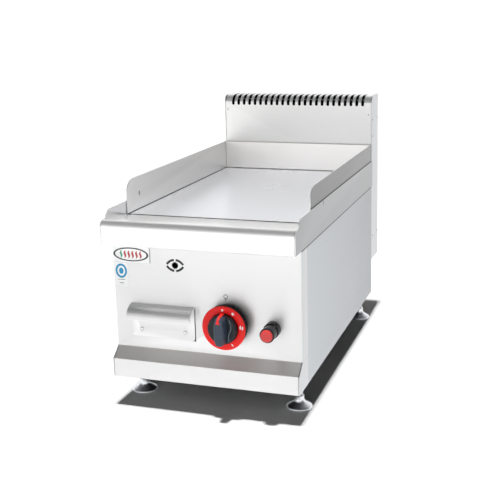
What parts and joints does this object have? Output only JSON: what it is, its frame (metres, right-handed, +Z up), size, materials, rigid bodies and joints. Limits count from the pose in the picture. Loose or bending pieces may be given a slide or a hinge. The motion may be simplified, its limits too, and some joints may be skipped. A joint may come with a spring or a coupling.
{
  "type": "flat top griddle",
  "caption": "Countertop gas griddle: flat steel plate in a bull-nosed frame with splash guards, rear louvred flue, fat drawer, gas knob, push igniter and levelling feet.",
  "frame": {"origin": "under the middle of the whole outline, on the surface that the feet stand on", "axes": "+X to the operator's right, +Y to the rear flue, +Z up; the operator stands at -Y"},
  "size_m": [0.33, 0.662, 0.475],
  "materials": {
    "stainless": "finely brushed, satin",
    "cooking_steel": "ground and polished",
    "galvanised": "dull zinc",
    "chrome": "mirror bright",
    "black_plastic": "fine satin",
    "red_plastic": "gloss",
    "brass": "machined",
    "cast_iron": "as cast",
    "ceramic": "glazed ceramic",
    "badge_enamel": "enamelled",
    "silicone": "matt sleeve"
  },
  "bodies": {
    "root": {"front_panel": "stainless", "plinth": "stainless", "side_panel_left": "stainless", "side_panel_right": "stainless", "front_apron": "stainless", "side_rail_left": "stainless", "side_rail_right": "stainless", "flue_side_left": "stainless", "flue_side_right": "stainless", "flue_hood": "stainless", "flue_rear_panel": "stainless", "griddle_plate": "cooking_steel", "base_panel": "galvanised", "rear_panel": "galvanised", "plate_stiffener_front": "galvanised", "plate_stiffener_rear": "galvanised", "flue_floor": "galvanised", "drawer_runner_left": "galvanised", "drawer_runner_right": "galvanised", "grease_chute": "galvanised", "igniter_nut": "galvanised", "chamber_wall_left": "galvanised", "chamber_wall_right": "galvanised", "chamber_wall_front": "galvanised", "heat_shield_floor": "galvanised", "manifold_pipe": "galvanised", "pilot_bracket": "galvanised", "foot_nut_front_left": "chrome", "foot_nut_front_right": "chrome", "foot_nut_rear_left": "chrome", "foot_nut_rear_right": "chrome", "thermocouple": "chrome", "igniter_body": "black_plastic", "valve_body": "brass", "injector": "brass", "burner_supply_pipe": "brass", "gas_inlet": "brass", "pilot_tube": "brass", "pilot_burner": "brass", "burner": "cast_iron", "spark_electrode": "ceramic", "badge_plate": "badge_enamel", "ignition_lead": "silicone"},
    "drawer": {"drawer_front": "stainless", "drawer_pan": "galvanised", "drawer_rivet_left": "chrome", "drawer_rivet_right": "chrome"},
    "splash_guard": {"splash_guard_left": "stainless", "splash_guard_right": "stainless", "splash_guard_rear": "stainless"},
    "valve_plug": {"valve_plug": "brass"},
    "knob": {"knob_backing": "black_plastic", "knob_skirt": "red_plastic", "knob_grip": "black_plastic", "knob_spindle": "brass"},
    "igniter_button": {"igniter_button": "red_plastic"},
    "foot_front_left": {"foot_front_left": "chrome"},
    "foot_front_right": {"foot_front_right": "chrome"},
    "foot_rear_left": {"foot_rear_left": "chrome"},
    "foot_rear_right": {"foot_rear_right": "chrome"}
  },
  "joints": [
    {"name": "drawer_slide", "type": "slide", "parent": "root", "child": "drawer", "axis": [0, -1, 0], "range_m": [0, 0.28]},
    {"name": "splash_guard_lift", "type": "slide", "parent": "root", "child": "splash_guard", "axis": [0, 0, 1], "range_m": [0, 0.12]},
    {"name": "knob_turn", "type": "hinge", "parent": "root", "child": "valve_plug", "pos_m": [0.039, -0.25, 0.156], "axis": [0, -1, 0], "range_deg": [0, 150]},
    {"name": "knob_push", "type": "slide", "parent": "valve_plug", "child": "knob", "axis": [0, 1, 0], "range_m": [0, 0.005], "stiffness_N_per_m": 1500, "springref_m": -0.003},
    {"name": "igniter_press", "type": "slide", "parent": "root", "child": "igniter_button", "axis": [0, 1, 0], "range_m": [0, 0.006], "stiffness_N_per_m": 1500, "springref_m": -0.003},
    {"name": "foot_front_left_level", "type": "slide", "parent": "root", "child": "foot_front_left", "axis": [0, 0, -1], "range_m": [-0.01, 0.015]},
    {"name": "foot_front_right_level", "type": "slide", "parent": "root", "child": "foot_front_right", "axis": [0, 0, -1], "range_m": [-0.01, 0.015]},
    {"name": "foot_rear_left_level", "type": "slide", "parent": "root", "child": "foot_rear_left", "axis": [0, 0, -1], "range_m": [-0.01, 0.015]},
    {"name": "foot_rear_right_level", "type": "slide", "parent": "root", "child": "foot_rear_right", "axis": [0, 0, -1], "range_m": [-0.01, 0.015]}
  ]
}
